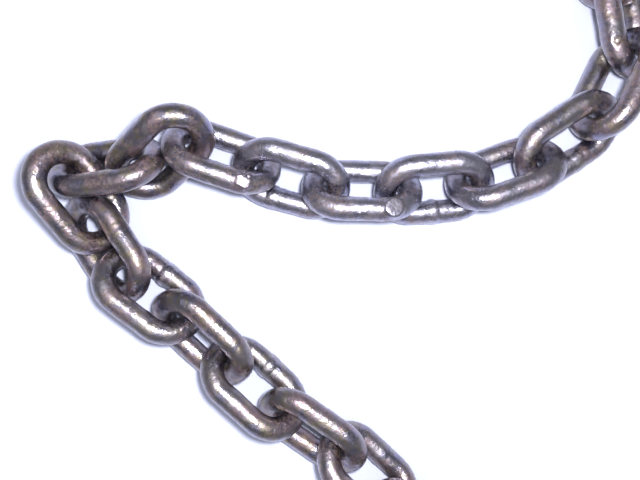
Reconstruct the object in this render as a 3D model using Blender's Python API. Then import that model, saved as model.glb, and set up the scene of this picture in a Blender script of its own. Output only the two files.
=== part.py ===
"""A length of welded steel chain, laid on a level floor in a sharp bend.

Each link is its own object. The links hang into one another and lean to either
side in turn, as chain does when it is laid down. Lengths are metres, +Z is up.
"""

import math

import bmesh
import bpy
import numpy as np
from mathutils import Matrix, Vector

# Size of one link
WIRE = 0.010
PITCH = 0.0312
INNER_WIDTH = 0.014
WIRE_SIDES = 12
CROWN_STEPS = 8

# Clear distance between two links that hang into one another
GAP = 0.0004

# Steel
STEEL_COLOUR = (0.30, 0.275, 0.26, 1.0)
STEEL_ROUGHNESS = 0.42
STEEL_METALLIC = 0.85

# Links beyond the laid bend, at either end
LEAD_LINKS = 8
TAIL_LINKS = 8
LEAD_TURN = 8.0
TAIL_TURN = 4.0
TURN_FADE = 0.65
EVEN_LEAN = 45.0

# The link in the corner. Each other link swings at its end nearer to this one.
MIDDLE_LINK = 17

# The laid bend, link by link along the chain: the middle of the link (x, y) in
# millimetres, its heading, its lean to the left and the rise of its far end in
# degrees. These links may also turn a little until they lie free of one another.
BEND = (
    (127.5, 92.5, 279.0, -40.0, 0.0),
    (122.5, 64.5, 244.0, 63.0, 0.0),
    (104.0, 42.0, 213.0, -38.0, 0.0),
    (77.5, 28.0, 200.0, 48.0, 0.0),
    (48.0, 21.5, 185.0, -39.0, 0.0),
    (17.5, 21.0, 179.0, 45.0, 2.0),
    (-12.5, 25.5, 164.0, -42.0, 1.0),
    (-41.0, 35.0, 162.0, 46.0, 7.0),
    (-66.0, 36.0, 218.0, -45.0, -23.0),
    (-89.0, 30.5, 186.0, 50.0, -8.0),
    (-100.0, 17.0, 301.0, -39.0, -25.0),
    (-90.0, -3.5, 304.0, 34.0, 1.0),
    (-71.5, -22.5, 323.0, -40.0, -2.0),
    (-49.5, -41.0, 317.0, 43.0, -2.0),
    (-27.5, -61.5, 318.0, -45.0, 1.0),
    (-3.5, -79.5, 326.0, 46.0, 1.0),
    (20.0, -98.5, 317.0, -44.0, 1.0),
)

# How the laid links are moved apart until they clear one another
SETTLE_ROUNDS = 600
SETTLE_STEP = 0.5
SETTLED = 0.00004
SLIDE_SHARE = 20.0
LEAST_EASE = 0.1
PULL = 0.0001
SINK = 0.00001
GYRATION = 0.013
LEG_SAMPLES = 20
CROWN_SAMPLES = 6
REACH = 0.058

RADIUS = WIRE / 2
CROWN = (INNER_WIDTH + WIRE) / 2
LEG = PITCH + WIRE - 2 * CROWN


def steel():
    material = bpy.data.materials.new("chain_steel")
    material.use_nodes = True
    shader = material.node_tree.nodes["Principled BSDF"]
    shader.inputs["Base Color"].default_value = STEEL_COLOUR
    shader.inputs["Roughness"].default_value = STEEL_ROUGHNESS
    shader.inputs["Metallic"].default_value = STEEL_METALLIC
    return material


def sweep_leg(bm, edges, step):
    """Extrudes the bar's end ring straight on and returns the new end ring."""
    grown = bmesh.ops.extrude_edge_only(bm, edges=edges)["geom"]
    verts = [item for item in grown if isinstance(item, bmesh.types.BMVert)]
    bmesh.ops.translate(bm, verts=verts, vec=step)
    return [item for item in grown if isinstance(item, bmesh.types.BMEdge)
            and item.verts[0] in verts and item.verts[1] in verts]


def sweep_crown(bm, edges, centre):
    """Spins the bar's end ring half a turn about the crown's centre."""
    last = bmesh.ops.spin(bm, geom=edges, cent=centre, axis=(0, 0, 1),
                          dvec=(0, 0, 0), angle=-math.pi, steps=CROWN_STEPS,
                          use_merge=False, use_duplicate=False)["geom_last"]
    return [item for item in last if isinstance(item, bmesh.types.BMEdge)]


def link_mesh(material):
    """One link lying flat, its long way along X, its origin where the link
    before it bears on the inside of the crown."""
    bm = bmesh.new()
    start = Matrix.Translation((-LEG / 2, CROWN, 0)) @ Matrix.Rotation(math.pi / 2, 4, "Y")
    ring = bmesh.ops.create_circle(bm, segments=WIRE_SIDES, radius=RADIUS, matrix=start)
    edges = list({edge for vert in ring["verts"] for edge in vert.link_edges})
    edges = sweep_leg(bm, edges, Vector((LEG, 0, 0)))
    edges = sweep_crown(bm, edges, (LEG / 2, 0, 0))
    edges = sweep_leg(bm, edges, Vector((-LEG, 0, 0)))
    sweep_crown(bm, edges, (-LEG / 2, 0, 0))
    bmesh.ops.remove_doubles(bm, verts=bm.verts[:], dist=1e-5)
    bmesh.ops.recalc_face_normals(bm, faces=bm.faces[:])
    bmesh.ops.translate(bm, verts=bm.verts[:], vec=(PITCH / 2, 0, 0))
    mesh = bpy.data.meshes.new("chain_link")
    bm.to_mesh(mesh)
    bm.free()
    mesh.shade_smooth()
    mesh.set_sharp_from_angle(angle=math.radians(50))
    mesh.materials.append(material)
    return mesh


def bar_line():
    """Points along the middle of the bar, about the link's own middle."""
    corners = []
    for side in (1, -1):
        for step in range(CROWN_STEPS + 1):
            turn = math.pi / 2 - math.pi * step / CROWN_STEPS
            corners.append((side * (LEG / 2 + CROWN * math.cos(turn)),
                            side * CROWN * math.sin(turn), 0.0))
    points = []
    for index, start in enumerate(corners):
        end = corners[(index + 1) % len(corners)]
        long = math.dist(start, end) > LEG / 2
        count = LEG_SAMPLES if long else CROWN_SAMPLES
        for part in range(count):
            share = part / count
            points.append([a + (b - a) * share for a, b in zip(start, end)])
    return np.array(points)


def turned(heading, lean, tip):
    """Rotation of a link: its long way, its width and its flat side."""
    heading, lean, tip = (math.radians(value) for value in (heading, lean, tip))
    along = np.array([math.cos(heading) * math.cos(tip), math.sin(heading) * math.cos(tip), math.sin(tip)])
    left = np.array([-math.sin(heading), math.cos(heading), 0.0])
    above = np.cross(along, left)
    across = math.cos(lean) * left + math.sin(lean) * above
    return np.stack([along, across, np.cross(along, across)], axis=1)


def continued(row, count, turn, forward):
    """Rows for the unseen links past one end, in an ever gentler curve."""
    rows = []
    x, y, heading, lean = row[:4]
    way = 1 if forward else -1
    for _ in range(count):
        ahead = heading + turn
        for part in (heading, ahead):
            x += way * 500 * PITCH * math.cos(math.radians(part))
            y += way * 500 * PITCH * math.sin(math.radians(part))
        heading = ahead
        lean = -math.copysign(EVEN_LEAN, lean)
        turn *= TURN_FADE
        rows.append((x, y, heading, lean, 0.0))
    return rows


def lay():
    """Every link's row, from one end of the chain to the other."""
    lead = continued(BEND[0], LEAD_LINKS, LEAD_TURN, False)
    tail = continued(BEND[-1], TAIL_LINKS, TAIL_TURN, True)
    return lead[::-1] + list(BEND) + tail


def nearest(first, second):
    """The two closest points of two bars and their distance."""
    squares = ((first[:, None, :] - second[None, :, :]) ** 2).sum(axis=2)
    place = int(squares.argmin())
    near, far = first[place // len(second)], second[place % len(second)]
    return near, far, math.sqrt(squares.min())


def small_turn(turn):
    """Rotation matrix of a small turn given as a rotation vector."""
    angle = np.linalg.norm(turn)
    if angle < 1e-9:
        return np.eye(3)
    x, y, z = turn / angle
    cross = np.array([[0, -z, y], [z, 0, -x], [-y, x, 0]])
    return np.eye(3) + math.sin(angle) * cross + (1 - math.cos(angle)) * cross @ cross


class Laid:
    """One link as it is being laid. A loose link may rise and turn, the others
    slide along the floor."""

    def __init__(self, row, loose, line, corners):
        self.line = line
        self.corners = corners
        self.spin = turned(*row[2:5])
        self.loose = loose
        self.place = np.array([row[0] / 1000, row[1] / 1000, 0.0])
        self.place[2] = -self.lowest()[2]

    def lowest(self):
        hung = self.corners @ self.spin.T
        return hung[hung[:, 2].argmin()] + self.place

    def bar(self):
        return self.line @ self.spin.T + self.place

    def ease(self, point, way):
        """How readily the link moves when it is pushed at a point."""
        if not self.loose:
            return SLIDE_SHARE * (1 - way[2] ** 2)
        lever = np.cross(point - self.place, way)
        return 1 + lever @ lever / GYRATION ** 2

    def push(self, point, way, amount):
        if not self.loose:
            self.place = self.place + SLIDE_SHARE * amount * way * np.array([1.0, 1.0, 0.0])
            return
        turn = np.cross(point - self.place, way) * amount / GYRATION ** 2
        self.place = self.place + way * amount
        self.spin = small_turn(turn) @ self.spin

    def land(self):
        """Lifts a loose link out of the floor or lets it sink back to it."""
        if not self.loose:
            return
        for _ in range(2):
            low = self.lowest()
            if low[2] < 0:
                up = np.array([0.0, 0.0, 1.0])
                self.push(low, up, -SETTLE_STEP * low[2] / self.ease(low, up))
            else:
                self.place[2] -= min(low[2], SINK)


def settle(rows, corners):
    """Moves the links apart, or together, until neighbours just clear one
    another, starting from the rows."""
    line = bar_line()
    links = [Laid(row, row in BEND, line, corners) for row in rows]
    for _ in range(SETTLE_ROUNDS):
        worst = 0.0
        for i, first in enumerate(links):
            for j in range(i + 1, min(i + 4, len(links))):
                second = links[j]
                if np.linalg.norm(first.place - second.place) > REACH:
                    continue
                near, far, span = nearest(first.bar(), second.bar())
                short = WIRE + GAP - span
                if short <= 0 and j > i + 1:
                    continue
                worst = max(worst, abs(short))
                short = max(short, -PULL)
                way = (near - far) / span
                ease = first.ease(near, way) + second.ease(far, way)
                amount = SETTLE_STEP * short / max(ease, LEAST_EASE)
                first.push(near, way, amount)
                second.push(far, -way, amount)
        for link in links:
            link.land()
        if worst < SETTLED:
            break
    return [link.place for link in links], [link.spin for link in links]


def centred(places, spins, corners):
    """Moves the whole chain so that its box stands on the origin."""
    points = np.concatenate([corners @ spin.T + place for place, spin in zip(places, spins)])
    low, high = points.min(axis=0), points.max(axis=0)
    shift = np.array([(low[0] + high[0]) / 2, (low[1] + high[1]) / 2, low[2]])
    return [place - shift for place in places]


def main():
    for item in list(bpy.data.objects):
        bpy.data.objects.remove(item, do_unlink=True)
    mesh = link_mesh(steel())
    to_middle = np.array([PITCH / 2, 0.0, 0.0])
    corners = np.array([vert.co[:] for vert in mesh.vertices]) - to_middle
    rows = lay()
    places, spins = settle(rows, corners)
    places = centred(places, spins, corners)
    for number, (place, spin) in enumerate(zip(places, spins), start=1):
        if number < MIDDLE_LINK:
            spin = spin @ np.diag([-1.0, -1.0, 1.0])
        link = bpy.data.objects.new(f"link_{number:02d}", mesh)
        bpy.context.scene.collection.objects.link(link)
        link.rotation_mode = "QUATERNION"
        link.rotation_quaternion = Matrix(spin.tolist()).to_quaternion()
        link.location = Vector(place - spin @ to_middle)


main()
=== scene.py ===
import math

import bpy
import numpy as np
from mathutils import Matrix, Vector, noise


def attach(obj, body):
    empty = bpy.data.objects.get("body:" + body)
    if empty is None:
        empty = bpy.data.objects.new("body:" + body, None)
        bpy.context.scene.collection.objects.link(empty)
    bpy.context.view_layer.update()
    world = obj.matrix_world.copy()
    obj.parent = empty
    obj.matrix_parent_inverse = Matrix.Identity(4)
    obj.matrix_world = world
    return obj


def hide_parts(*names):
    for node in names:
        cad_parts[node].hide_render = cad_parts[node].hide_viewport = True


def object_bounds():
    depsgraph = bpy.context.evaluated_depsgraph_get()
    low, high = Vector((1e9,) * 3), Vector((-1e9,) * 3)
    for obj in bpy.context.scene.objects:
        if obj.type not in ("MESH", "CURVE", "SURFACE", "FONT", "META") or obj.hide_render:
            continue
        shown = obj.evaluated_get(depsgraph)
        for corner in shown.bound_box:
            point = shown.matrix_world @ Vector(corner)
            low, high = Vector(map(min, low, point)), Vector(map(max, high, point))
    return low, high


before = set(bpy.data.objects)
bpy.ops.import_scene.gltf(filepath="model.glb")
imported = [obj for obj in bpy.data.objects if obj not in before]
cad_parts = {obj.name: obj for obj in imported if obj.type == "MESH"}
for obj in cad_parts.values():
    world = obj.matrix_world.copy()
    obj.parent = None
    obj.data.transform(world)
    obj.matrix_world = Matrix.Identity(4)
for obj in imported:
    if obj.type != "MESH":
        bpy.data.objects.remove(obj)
cad_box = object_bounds()

# Size of one packed link in metres, and the length once round its bar's middle line
WIRE = 0.010
PITCH = 0.0312
INNER_WIDTH = 0.014
CROWN = (INNER_WIDTH + WIRE) / 2
LEG = PITCH + WIRE - 2 * CROWN
ROUND = 2 * LEG + 2 * math.pi * CROWN

# Radius of the drawn bar before its marks
BAR = 0.00488

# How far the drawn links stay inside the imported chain's box
INSET = 0.00003

# How finely a link is drawn
ALONG_STEPS = 204
ROUND_STEPS = 56

# The photograph is taken straight down. The middle of one link shows at this pixel.
PICTURE = (640, 480)
FOCAL_PIXELS = 600.0
SENSOR = 36.0
CLIP_START = 0.01
CAMERA_HEIGHT = 0.265
ANCHOR_LINK = 14
ANCHOR_PIXEL = (362.0, 189.7)

# Ring of the weld: half width and rise in metres, and its slope in half widths
WELD_HALF = 0.0024
WELD_RISE = 0.00026
RING_SLOPE = (0.25, 1.10)

# How much higher the ring is on the link's inside, and lower on its outside
RING_INSIDE = 0.35

# Groove at each edge of the ring: depth and half width in metres, place in half rings
WELD_GROOVE = 0.00009
GROOVE_HALF = 0.00040
GROOVE_PLACE = 1.15

# Upset steel around the weld: half width and rise in metres, and its flat share
UPSET_HALF = 0.0075
UPSET_RISE = 0.00016
UPSET_FLAT = 0.2

# Distances from the weld, in metres, between which its rubbed steel fades away
RUB_SLOPE = (0.0018, 0.0045)

# How the lumps make the ring's width, its rise and the grooves uneven
UNEVEN_WIDTH = 0.18
UNEVEN_RISE = 0.6
UNEVEN_GROOVE = (0.75, 1.2)

# Worn seats in the crowns: depth and half length in metres, reach round the bar in cosines
SEAT_DEPTH = 0.00016
SEAT_HALF = 0.0048
SEAT_SLOPE = (0.2, 1.0)

# Forging lumps and small dents, in metres
LUMP_RISE = 0.00015
LUMP_SIZE = 0.0065
DENT_RISE = 0.00010
DENT_SIZE = 0.0020

# Step through the noise from one draw to the next, and in draws from lumps to dents
GRAIN_STEP = (7.31, 3.17, 11.9)
DENT_STEP = 40

# Step from link to link through the patterns in the steel
PATCH_STEP = (0.31, 0.17, 0.23)

# How far the weld stands out, by link
WELD_STRENGTHS = {
    9: 0.4, 10: 0.4, 11: 0.9, 12: 0.25, 13: 1.3, 14: 0.15, 15: 1.0, 16: 0.15,
    17: 0.3, 18: 0.5, 19: 0.2, 20: 0.2, 21: 1.2, 22: 0.2, 23: 1.2, 24: 0.2,
}
WELD_STRENGTH = 0.6

# How far along its side the weld sits from the middle, in millimetres, by link
WELD_SHIFTS = {
    9: 1.0, 10: -1.0, 11: -1.0, 12: 5.5, 13: 0.5, 14: 3.0, 15: 6.0, 16: -1.0,
    17: 0.0, 18: -6.0, 19: 0.0, 20: 0.5, 21: 0.0, 22: 0.5, 23: -1.0, 24: 1.0,
}

# How far the weld wanders on the other links, in millimetres, and how fast
WANDER = 2.0
WANDER_TURN = 2.4

# Painted light, by link: how much brighter, bluer colour is laid on, for the lamp's pool of
# light on the links nearest it
PAINTED_LIGHT = {
    10: 0.15, 11: 0.25, 12: 0.55, 13: 0.95, 14: 1.0, 15: 0.95, 16: 0.5, 17: 0.0,
    18: 0.05, 19: 0.05, 20: 0.05, 21: 0.30, 22: 0.0, 23: 0.1, 24: 0.0, 25: 0.1,
}
PAINTED_LIGHT_ELSE = 0.1

# Raised round pads, left bare, by link, with the place along the bar and radius in millimetres,
# and the painted shade that darkens each
PADS = {
    14: {"spot": -11.3, "radius": 4.3, "facing": (0.0, 0.10, 1.0), "pad_shade": 0.8, "uneven": 0.0},
    16: {"spot": -11.5, "radius": 3.2, "facing": (0.0, -0.06, 1.0), "pad_shade": 0.15, "uneven": 0.5},
    9: {"spot": 44.0, "radius": 1.5, "facing": (-0.16, -0.14, 1.0), "pad_shade": 0.3, "uneven": 0.2},
}

# Top of a pad: rise and bevel in metres, and the power that keeps it flat
PAD_RISE = 0.00030
PAD_BEVEL = 0.00030
PAD_FLATNESS = 6

# Slope at the edge of a pad, in radii
PAD_SLOPE = (0.92, 1.05)

# Groove around a pad: its place in radii, and its depth as a share of the bevel
RIM_PLACE = 1.10
RIM_DEPTH = 0.4

# Colours of the steel, linear
GREY = (0.206, 0.176, 0.190, 1.0)
BLUE = (0.184, 0.170, 0.262, 1.0)
PLUM = (0.216, 0.146, 0.180, 1.0)
OLIVE = (0.232, 0.188, 0.112, 1.0)
RUST = (0.180, 0.112, 0.084, 1.0)
# Painted light: the brighter, bluer colour of the links nearest the lamp
LIT_COLOUR = (0.352, 0.348, 0.456, 1.0)
# Dark scale, also laid on as painted shade in the seats, grooves and pads
SCALE_AND_SHADE = (0.055, 0.048, 0.060, 1.0)
BRIGHT = (0.480, 0.465, 0.490, 1.0)

# Patterns in the steel: size in metres, detail, roughness and warp
BROAD = (0.0110, 2.0, 0.5, 0.4)
PATCH = (0.0048, 3.0, 0.6, 0.6)
TONE = (0.0070, 2.0, 0.5, 0.3)
BLOTCH = (0.0026, 2.0, 0.6, 0.5)
FLECK = (0.0011, 4.0, 0.65, 0.0)
FINE = (0.00032, 3.0, 0.7, 0.0)

# Size of the cells that have a pit each, in metres
PIT_SIZE = 0.0013

# Shifts that keep two of the patterns apart from the others
TONE_SHIFT = 0.5
BLOTCH_SHIFT = 0.9

# Where each colour shows: two values of its pattern, and its strength there if not 0 and 1
PLUM_BROAD = (0.44, 0.58)
BLUE_TONE = (0.50, 0.62)
OLIVE_PATCH = (0.50, 0.62, 0.0, 0.9)
RUST_BROAD = (0.47, 0.60)
RUST_FLECK = (0.45, 0.60)
DEEP_PIT = (0.28, 0.05)
DEEP_FLECK = (0.42, 0.60)
DEEP_SEAT = (0.0, 1.0, 0.4, 0.0)
DARK_BLOTCH = (0.40, 0.62, 0.36, 0.0)
BRIGHT_PATCH = (0.40, 0.62, 0.0, 0.25)

# The most that each of these shows; the lit share is painted light, and the pad, seat and groove
# shares are painted shade
LIT_SHARE = 0.72
RUST_SHARE = 0.9
PAD_SHADE_SHARE = 0.6
SEAT_SHADE_SHARE = 0.12
GROOVE_SHADE_SHARE = 0.22

# How metallic and how rough the steel is, written like the colours
METAL_RUST = (0.0, 0.9, 1.0, 0.5)
ROUGH_TONE = (0.38, 0.62, 0.43, 0.21)
ROUGH_BLOTCH = (0.35, 0.65, 0.05, -0.05)
ROUGH_FLECK = (0.3, 0.7, -0.04, 0.06)

# How much rougher the deep pits are
ROUGH_DEEP = 0.25

# Thin dull film on the steel, of oxide and old oil
COAT = 1.0
COAT_ROUGHNESS = 0.31
COAT_IOR = 1.7

# Fine relief in the steel: strength and depth in metres
PIT_BUMP = (0.35, 0.00012)
FLECK_BUMP = (0.60, 0.00026)
FINE_BUMP = (0.20, 0.00004)

# How far a pit reaches from its middle, and how the flecks flatten in a seat
PIT_RELIEF = (0.0, 0.45)
SEAT_RELIEF = (0.0, 1.0, 1.0, 0.3)

# Floor: half its width and its drop below the chain in metres, and its surface
FLOOR_HALF = 15.0
FLOOR_DROP = 0.00005
FLOOR_ROUGHNESS = 0.8
FLOOR_SPECULAR = 0.2

# The floor's colour near and far off, and the distances in metres between which it changes
NEAR_WHITE = (0.52, 0.54, 0.68, 1.0)
FAR_WHITE = (0.60, 0.60, 0.64, 1.0)
TINT_REACH = (0.20, 0.55)

# The floor's glow far off, and the distances in metres between which it comes in
FLOOR_GLOW = 0.62
GLOW_REACH = (0.30, 1.50)

# Small lamp near the camera, placed in metres from the point on the floor below the camera
KEY_PLACE = (0.022, 0.014, 0.27)
KEY_RADIUS = 0.012
KEY_POWER = 5.0
KEY_COLOUR = (0.94, 0.95, 1.0)

# Soft panel overhead, and the sky
SOFT_HEIGHT = 1.1
SOFT_SIZE = 1.4
SOFT_POWER = 6.0
COOL = (0.92, 0.93, 1.0)
SKY_STRENGTH = 0.32
HORIZON_STRENGTH = 0.72
HORIZON_RISE = 0.28


def surface(node):
    """Middles and areas of the triangles of a packed link."""
    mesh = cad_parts[node].data
    mesh.calc_loop_triangles()
    places = np.empty(len(mesh.vertices) * 3)
    mesh.vertices.foreach_get("co", places)
    corners = np.empty(len(mesh.loop_triangles) * 3, dtype=np.int32)
    mesh.loop_triangles.foreach_get("vertices", corners)
    faces = places.reshape(-1, 3)[corners].reshape(-1, 3, 3)
    sides = np.cross(faces[:, 1] - faces[:, 0], faces[:, 2] - faces[:, 0])
    return faces.mean(axis=1), np.linalg.norm(sides, axis=1) / 2


class Link:
    """Where one packed link lies: its middle and its three own directions."""

    def __init__(self, number):
        self.number = number
        self.node = f"link_{number:02d}"
        middles, areas = surface(self.node)
        share = areas / areas.sum()
        self.middle = share @ middles
        offsets = middles - self.middle
        spread = offsets.T @ (offsets * share[:, None])
        directions = np.linalg.eigh(spread)[1]
        self.flat = directions[:, 0]
        self.along = directions[:, 2]

    def face(self, ahead):
        """Turns its directions: ahead along the chain, left and up."""
        if self.along @ ahead < 0:
            self.along = -self.along
        if self.flat[2] < 0:
            self.flat = -self.flat
        across = np.cross(self.flat, self.along)
        self.spin = np.stack([self.along, across, self.flat], axis=1)


def find_links():
    links = [Link(number) for number in range(1, len(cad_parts) + 1)]
    for index, link in enumerate(links):
        before = links[max(index - 1, 0)]
        after = links[min(index + 1, len(links) - 1)]
        link.face(after.middle - before.middle)
    return links


def centre_line(along):
    """Points and outward directions of the bar's middle line at distances
    along it, from the middle of the left side."""
    along = np.mod(along, ROUND)
    half = LEG / 2
    turn = math.pi * CROWN
    points = np.zeros((len(along), 2))
    outward = np.zeros((len(along), 2))
    for index, distance in enumerate(along):
        side = 1.0
        if distance > ROUND / 2:
            distance -= ROUND / 2
            side = -1.0
        if distance <= half:
            x, y, out = distance, CROWN, (0.0, 1.0)
        elif distance <= half + turn:
            angle = math.pi / 2 - (distance - half) / CROWN
            out = (math.cos(angle), math.sin(angle))
            x, y = half + CROWN * out[0], CROWN * out[1]
        else:
            x, y, out = half - (distance - half - turn), -CROWN, (0.0, -1.0)
        points[index] = (side * x, side * y)
        outward[index] = (side * out[0], side * out[1])
    return points, outward


def from_spot(along, spot):
    """Signed distance along the bar from a spot, the short way round."""
    return np.mod(along - spot + ROUND / 2, ROUND) - ROUND / 2


def smooth(low, high, value):
    """Soft step from 0 at the low value to 1 at the high one."""
    share = np.clip((value - low) / (high - low), 0.0, 1.0)
    return share * share * (3 - 2 * share)


def hump(away, half):
    """Soft hump of height 1 that dies out beyond its half width."""
    return np.exp(-(away / half) ** 2)


def grain(points, size, draw):
    """Soft noise at each point, about -1 to 1, another for each draw."""
    scaled = points / size + draw * np.array(GRAIN_STEP)
    return np.array([noise.noise(place) for place in scaled.tolist()])


def weld_rise(away, around, lumps):
    """Height of the weld: an upset side, a raised ring and a groove at each
    edge of it, all a little uneven. Also how far each point is in a groove."""
    reach = np.abs(away)
    width = WELD_HALF * (1 + UNEVEN_WIDTH * lumps)
    ring = WELD_RISE * (1 - smooth(RING_SLOPE[0] * width, RING_SLOPE[1] * width, reach))
    ring = ring * (1 + RING_INSIDE * np.cos(around - math.pi)) * (1 + UNEVEN_RISE * lumps)
    groove = hump(reach - GROOVE_PLACE * width, GROOVE_HALF)
    groove = groove * np.clip(UNEVEN_GROOVE[0] + UNEVEN_GROOVE[1] * lumps, 0.0, 1.0)
    upset = UPSET_RISE * (1 - smooth(UPSET_FLAT * UPSET_HALF, UPSET_HALF, reach))
    return ring - WELD_GROOVE * groove + upset, groove


def raise_pad(link, points, spot, radius, facing, unevenness):
    """Lifts a round flat pad out of the bar, square to it, on the side that
    faces as given. Also how far each point is in the pad and in its edge."""
    line, outward = centre_line(np.array([spot]))
    start = np.array([line[0][0], line[0][1], 0.0])
    tangent = np.array([-outward[0][1], outward[0][0], 0.0])
    up = link.spin.T @ np.array(facing)
    up = up - (up @ tangent) * tangent
    up = up / np.linalg.norm(up)
    side = np.cross(up, tangent)
    offset = points - start
    height = offset @ up
    reach = np.hypot(offset @ tangent, offset @ side) * (1 + unevenness)
    top = BAR + PAD_RISE - PAD_BEVEL * (reach / radius) ** PAD_FLATNESS
    share = 1 - smooth(PAD_SLOPE[0] * radius, PAD_SLOPE[1] * radius, reach)
    share = share * (height > 0)
    rim = hump(reach - RIM_PLACE * radius, GROOVE_HALF) * (height > 0)
    lift = (np.maximum(height, top) - height) * share
    points = points + np.outer(lift - RIM_DEPTH * PAD_BEVEL * rim, up)
    return points, share, rim


def link_points(link):
    """Vertices of one link about its own middle, and masks for its bare, worn steel and for its
    painted light and shade.
    """
    number = link.number
    steps = np.arange(ALONG_STEPS) * ROUND / ALONG_STEPS
    turns = np.arange(ROUND_STEPS) * 2 * math.pi / ROUND_STEPS
    line, outward = centre_line(steps)
    along = np.repeat(steps, ROUND_STEPS)
    around = np.tile(turns, ALONG_STEPS)
    line = np.repeat(line, ROUND_STEPS, axis=0)
    outward = np.repeat(outward, ROUND_STEPS, axis=0)
    normals = np.stack([outward[:, 0] * np.cos(around), outward[:, 1] * np.cos(around),
                        np.sin(around)], axis=1)
    middles = np.stack([line[:, 0], line[:, 1], np.zeros(len(along))], axis=1)
    bare = middles + BAR * normals
    lumps = grain(bare, LUMP_SIZE, number)
    dents = grain(bare, DENT_SIZE, number + DENT_STEP)
    wander = WANDER * math.sin(WANDER_TURN * number)
    away = from_spot(along, WELD_SHIFTS.get(number, wander) / 1000)
    strength = WELD_STRENGTHS.get(number, WELD_STRENGTH)
    weld, groove = weld_rise(away, around, lumps)
    groove = strength * groove
    seat = hump(from_spot(along, ROUND / 4), SEAT_HALF)
    seat = seat + hump(from_spot(along, 3 * ROUND / 4), SEAT_HALF)
    inner = smooth(*SEAT_SLOPE, -np.cos(around))
    rise = LUMP_RISE * lumps + DENT_RISE * dents
    rise = rise + strength * weld - SEAT_DEPTH * seat * inner
    points = middles + (BAR + rise)[:, None] * normals
    pad = np.zeros(len(along))
    if number in PADS:
        own = PADS[number]
        points, pad, rim = raise_pad(link, points, own["spot"] / 1000, own["radius"] / 1000,
                                     own["facing"], own["uneven"] * dents)
        # Painted shade: each pad is darkened by its own share, and so is the groove round it
        pad = own["pad_shade"] * pad
        groove = np.maximum(groove, own["pad_shade"] * rim)
    # Masks: bare steel by the weld, painted shade in the grooves, seats and pads, and painted
    # light by link
    wear_and_painted_light = {
        "weld": strength * (1 - smooth(*RUB_SLOPE, np.abs(away))),
        "groove": groove,
        "seat": seat * inner,
        "pad": pad,
        "painted_light": np.full(len(along), PAINTED_LIGHT.get(number, PAINTED_LIGHT_ELSE)),
    }
    return points, wear_and_painted_light


def turned(link, points):
    """Turns a link's points the way it lies and keeps them within the packed
    chain's box, so that none reaches below the floor."""
    low, high = (np.array(corner[:]) for corner in cad_box)
    placed = points @ link.spin.T
    return np.clip(placed, low + INSET - link.middle, high - INSET - link.middle)


def link_faces():
    faces = []
    for step in range(ALONG_STEPS):
        ahead = (step + 1) % ALONG_STEPS
        for turn in range(ROUND_STEPS):
            beside = (turn + 1) % ROUND_STEPS
            faces.append((step * ROUND_STEPS + turn, step * ROUND_STEPS + beside,
                          ahead * ROUND_STEPS + beside, ahead * ROUND_STEPS + turn))
    return faces


def add_layer(mesh, name, kind, slot, values):
    layer = mesh.attributes.new(name, kind, "POINT")
    layer.data.foreach_set(slot, np.asarray(values, dtype=np.float32).ravel())


def add_object(name, data):
    made = bpy.data.objects.new(name, data)
    bpy.context.scene.collection.objects.link(made)
    return made


def make_link(link, faces, material):
    points, wear_and_painted_light = link_points(link)
    name = f"steel_{link.node}"
    mesh = bpy.data.meshes.new(name)
    mesh.from_pydata(turned(link, points).tolist(), [], faces)
    mesh.update()
    mesh.shade_smooth()
    for mark, values in wear_and_painted_light.items():
        add_layer(mesh, mark, "FLOAT", "value", values)
    own_place = points + np.array(PATCH_STEP) * link.number
    add_layer(mesh, "rest", "FLOAT_VECTOR", "vector", own_place)
    mesh.materials.append(material)
    piece = add_object(name, mesh)
    piece.location = link.middle
    return piece


class Tree:
    """Short ways to add nodes to a material."""

    def __init__(self, name):
        self.material = bpy.data.materials.new(name)
        self.material.use_nodes = True
        self.tree = self.material.node_tree
        self.sockets = self.tree.nodes["Principled BSDF"].inputs

    def set(self, socket, value):
        """Links a socket to another's output or gives it a constant."""
        if isinstance(value, bpy.types.NodeSocket):
            self.tree.links.new(value, socket)
        else:
            socket.default_value = value

    def add(self, kind, output, values, **settings):
        """Adds a node with its settings and its inputs, and gives one output."""
        node = self.tree.nodes.new(kind)
        for name, value in settings.items():
            setattr(node, name, value)
        for name, value in values.items():
            self.set(node.inputs[name], value)
        return node.outputs[output]

    def attribute(self, name, output="Fac"):
        return self.add("ShaderNodeAttribute", output, {}, attribute_name=name)

    def reach(self):
        """Distance from the middle of the world."""
        place = self.add("ShaderNodeNewGeometry", "Position", {})
        return self.add("ShaderNodeVectorMath", "Value", {0: place}, operation="LENGTH")

    def shifted(self, place, shift):
        values = {0: place, 1: (shift, shift, shift)}
        return self.add("ShaderNodeVectorMath", "Vector", values)

    def noise(self, place, size, detail, rough, warp):
        values = {"Vector": place, "Scale": 1.0 / size, "Detail": detail,
                  "Roughness": rough, "Distortion": warp}
        return self.add("ShaderNodeTexNoise", "Fac", values)

    def cells(self, place, size):
        values = {"Vector": place, "Scale": 1.0 / size}
        return self.add("ShaderNodeTexVoronoi", "Distance", values)

    def map(self, value, low, high, to_low=0.0, to_high=1.0):
        values = {"Value": value, "From Min": low, "From Max": high,
                  "To Min": to_low, "To Max": to_high}
        return self.add("ShaderNodeMapRange", "Result", values)

    def math(self, kind, first, second):
        return self.add("ShaderNodeMath", "Value", {0: first, 1: second}, operation=kind)

    def mix(self, share, first, second):
        values = {"Factor": share, "A": first, "B": second}
        return self.add("ShaderNodeMix", "Result", values, data_type="RGBA")

    def bump(self, height, strength, distance, normal=None):
        values = {"Strength": strength, "Distance": distance, "Height": height}
        if normal is not None:
            values["Normal"] = normal
        return self.add("ShaderNodeBump", "Normal", values)


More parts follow.
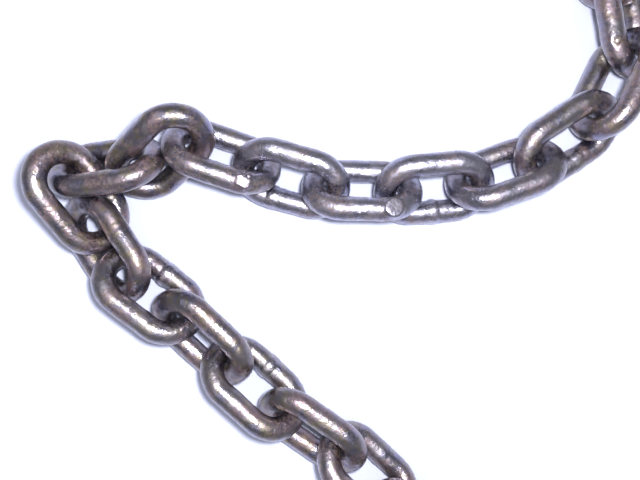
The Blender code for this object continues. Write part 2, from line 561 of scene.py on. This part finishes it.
def chain_steel():
    """Worn bare steel: grey-brown, with plum, bluish, olive and rusty patches,
    dark scale in its pits, bright spots at the welds and a thin matt film.
    Painted shade darkens the seats where links touch, the grooves and the
    pads, and painted light makes the links nearest the lamp brighter and bluer."""
    made = Tree("chain_steel")
    place = made.attribute("rest", "Vector")
    broad = made.noise(place, *BROAD)
    patch = made.noise(place, *PATCH)
    tone = made.noise(made.shifted(place, TONE_SHIFT), *TONE)
    blotch = made.noise(made.shifted(place, BLOTCH_SHIFT), *BLOTCH)
    fleck = made.noise(place, *FLECK)
    pits = made.cells(place, PIT_SIZE)
    fine = made.noise(place, *FINE)
    weld = made.attribute("weld")
    groove = made.attribute("groove")
    seat = made.attribute("seat")
    pad = made.attribute("pad")
    painted_light = made.attribute("painted_light")

    colour = made.mix(made.map(broad, *PLUM_BROAD), GREY, PLUM)
    colour = made.mix(made.map(tone, *BLUE_TONE), colour, BLUE)
    colour = made.mix(made.map(patch, *OLIVE_PATCH), colour, OLIVE)
    # Painted light: brighter, bluer steel on the links nearest the lamp, for its pool of light
    colour = made.mix(made.math("MULTIPLY", painted_light, LIT_SHARE), colour, LIT_COLOUR)
    rusty = made.math("MULTIPLY", made.map(broad, *RUST_BROAD), made.map(fleck, *RUST_FLECK))
    rusty = made.math("MULTIPLY", rusty, RUST_SHARE)
    colour = made.mix(rusty, colour, RUST)
    scale_and_pad_shade = made.math("MULTIPLY", made.map(pits, *DEEP_PIT), made.map(fleck, *DEEP_FLECK))
    scale_and_pad_shade = made.math("MULTIPLY", scale_and_pad_shade, made.map(seat, *DEEP_SEAT))
    # Painted shade: the pads are darkened, for faces that catch little of the lamp
    scale_and_pad_shade = made.math("MAXIMUM", scale_and_pad_shade, made.math("MULTIPLY", pad, PAD_SHADE_SHARE))
    colour = made.mix(scale_and_pad_shade, colour, SCALE_AND_SHADE)
    dark = made.map(blotch, *DARK_BLOTCH)
    # Painted shade: darker steel in the seats where the links touch, added to the random dark
    # blotches
    dark = made.math("MAXIMUM", dark, made.math("MULTIPLY", seat, SEAT_SHADE_SHARE))
    colour = made.mix(dark, colour, SCALE_AND_SHADE)
    bright = made.math("MULTIPLY", weld, made.map(patch, *BRIGHT_PATCH))
    colour = made.mix(bright, colour, BRIGHT)
    # Painted shade: darker steel in the weld grooves and in the groove round each pad
    colour = made.mix(made.math("MULTIPLY", groove, GROOVE_SHADE_SHARE), colour, SCALE_AND_SHADE)
    made.set(made.sockets["Base Color"], colour)
    made.set(made.sockets["Metallic"], made.map(rusty, *METAL_RUST))

    rough = made.map(tone, *ROUGH_TONE)
    rough = made.math("ADD", rough, made.map(blotch, *ROUGH_BLOTCH))
    rough = made.math("ADD", rough, made.math("MULTIPLY", scale_and_pad_shade, ROUGH_DEEP))
    rough = made.math("ADD", rough, made.map(fleck, *ROUGH_FLECK))
    made.set(made.sockets["Roughness"], rough)
    made.sockets["Coat Weight"].default_value = COAT
    made.sockets["Coat Roughness"].default_value = COAT_ROUGHNESS
    made.sockets["Coat IOR"].default_value = COAT_IOR

    normal = made.bump(made.map(pits, *PIT_RELIEF), *PIT_BUMP)
    relief = made.math("MULTIPLY", fleck, made.map(seat, *SEAT_RELIEF))
    normal = made.bump(relief, *FLECK_BUMP, normal)
    normal = made.bump(fine, *FINE_BUMP, normal)
    made.set(made.sockets["Normal"], normal)
    made.set(made.sockets["Coat Normal"], normal)
    return made.material


def floor_white():
    """White floor, a little blue beside the chain and paler far off, where the
    lamps hardly reach it."""
    made = Tree("floor_white")
    reach = made.reach()
    away = made.map(reach, *TINT_REACH)
    glow = made.map(reach, *GLOW_REACH, 0.0, FLOOR_GLOW)
    made.set(made.sockets["Base Color"], made.mix(away, NEAR_WHITE, FAR_WHITE))
    made.set(made.sockets["Emission Strength"], glow)
    made.sockets["Emission Color"].default_value = FAR_WHITE
    made.sockets["Roughness"].default_value = FLOOR_ROUGHNESS
    made.sockets["Specular IOR Level"].default_value = FLOOR_SPECULAR
    return made.material


def add_floor():
    mesh = bpy.data.meshes.new("floor")
    half = FLOOR_HALF
    corners = [(-half, -half, 0), (half, -half, 0), (half, half, 0), (-half, half, 0)]
    mesh.from_pydata(corners, [], [(0, 1, 2, 3)])
    mesh.materials.append(floor_white())
    floor = add_object("floor", mesh)
    floor.location.z = -FLOOR_DROP


def add_camera(links):
    """Camera that looks straight down, placed so that the anchor link's middle
    shows at its pixel. Gives the camera's place."""
    anchor = links[ANCHOR_LINK - 1].middle
    per_pixel = (CAMERA_HEIGHT - anchor[2]) / FOCAL_PIXELS
    x = anchor[0] - (ANCHOR_PIXEL[0] - PICTURE[0] / 2) * per_pixel
    y = anchor[1] + (ANCHOR_PIXEL[1] - PICTURE[1] / 2) * per_pixel
    data = bpy.data.cameras.new("camera")
    data.sensor_width = SENSOR
    data.lens = FOCAL_PIXELS * SENSOR / PICTURE[0]
    data.clip_start = CLIP_START
    camera = add_object("camera", data)
    camera.location = (x, y, CAMERA_HEIGHT)
    bpy.context.scene.camera = camera
    return camera.location.copy()


def add_key(eye):
    """A small lamp near the camera that lights near and far alike."""
    data = bpy.data.lights.new("key", "POINT")
    data.shadow_soft_size = KEY_RADIUS
    data.energy = KEY_POWER
    data.color = KEY_COLOUR
    data.use_nodes = True
    tree = data.node_tree
    even = tree.nodes.new("ShaderNodeLightFalloff")
    even.inputs["Strength"].default_value = 1.0 / KEY_PLACE[2] ** 2
    tree.links.new(even.outputs["Constant"], tree.nodes["Emission"].inputs["Strength"])
    key = add_object("key", data)
    key.location = (eye.x + KEY_PLACE[0], eye.y + KEY_PLACE[1], KEY_PLACE[2])
    key.visible_camera = False


def add_soft(eye):
    """A large square panel straight above the middle of the view, lit evenly
    and facing down."""
    data = bpy.data.lights.new("soft", "AREA")
    data.size = SOFT_SIZE
    data.energy = SOFT_POWER
    data.color = COOL
    panel = add_object("soft", data)
    panel.location = (eye.x, eye.y, SOFT_HEIGHT)
    panel.visible_camera = False


def studio_sky():
    """Even pale sky, brighter in a low band along the horizon."""
    world = bpy.data.worlds.new("studio")
    world.use_nodes = True
    tree = world.node_tree
    sky = tree.nodes["Background"]
    sky.inputs["Color"].default_value = (*COOL, 1.0)
    way = tree.nodes.new("ShaderNodeTexCoord")
    split = tree.nodes.new("ShaderNodeSeparateXYZ")
    fade = tree.nodes.new("ShaderNodeMapRange")
    fade.inputs["From Max"].default_value = HORIZON_RISE
    fade.inputs["To Min"].default_value = HORIZON_STRENGTH
    fade.inputs["To Max"].default_value = SKY_STRENGTH
    tree.links.new(way.outputs["Generated"], split.inputs["Vector"])
    tree.links.new(split.outputs["Z"], fade.inputs["Value"])
    tree.links.new(fade.outputs["Result"], sky.inputs["Strength"])
    return world


def main():
    links = find_links()
    steel = chain_steel()
    faces = link_faces()
    for link in links:
        piece = make_link(link, faces, steel)
        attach(piece, link.node)
        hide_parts(link.node)
    add_floor()
    eye = add_camera(links)
    add_key(eye)
    add_soft(eye)
    bpy.context.scene.world = studio_sky()
    bpy.context.scene.view_settings.view_transform = "Standard"
    bpy.context.scene.view_settings.exposure = 0.0


main()
